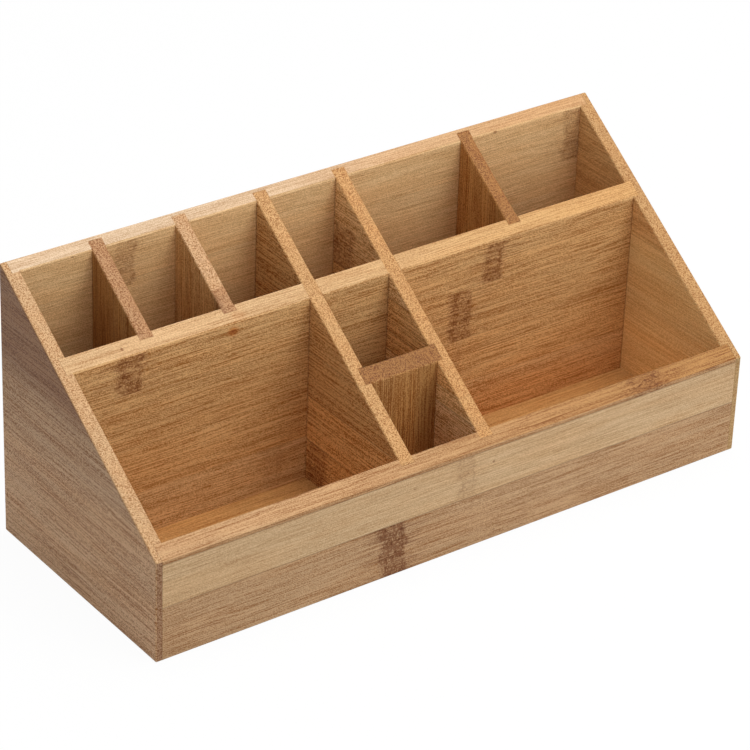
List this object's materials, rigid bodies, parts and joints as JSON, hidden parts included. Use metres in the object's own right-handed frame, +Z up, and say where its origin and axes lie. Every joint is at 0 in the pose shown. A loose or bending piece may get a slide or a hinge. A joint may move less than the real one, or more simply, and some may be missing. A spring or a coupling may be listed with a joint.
{
  "type": "desk organizer",
  "caption": "Open desk organizer of joined bamboo boards with a sloping rim, a rear row of narrow and wide cells, large front bays and a small centre column.",
  "frame": {"origin": "middle of the footprint, on the surface that the organizer stands on", "axes": "+X along the long side to the right, seen from the front; +Y from the low front to the high back; +Z up"},
  "size_m": [0.31, 0.1198, 0.1303],
  "materials": {
    "bamboo": "satin, clear lacquer on bamboo"
  },
  "bodies": {
    "root": {"left_end": "bamboo", "right_end": "bamboo", "front_panel": "bamboo", "back_panel": "bamboo", "base_panel": "bamboo", "middle_divider": "bamboo", "long_divider_left": "bamboo", "long_divider_right": "bamboo", "short_divider_1": "bamboo", "short_divider_2": "bamboo", "short_divider_3": "bamboo", "centre_divider": "bamboo"}
  },
  "joints": []
}
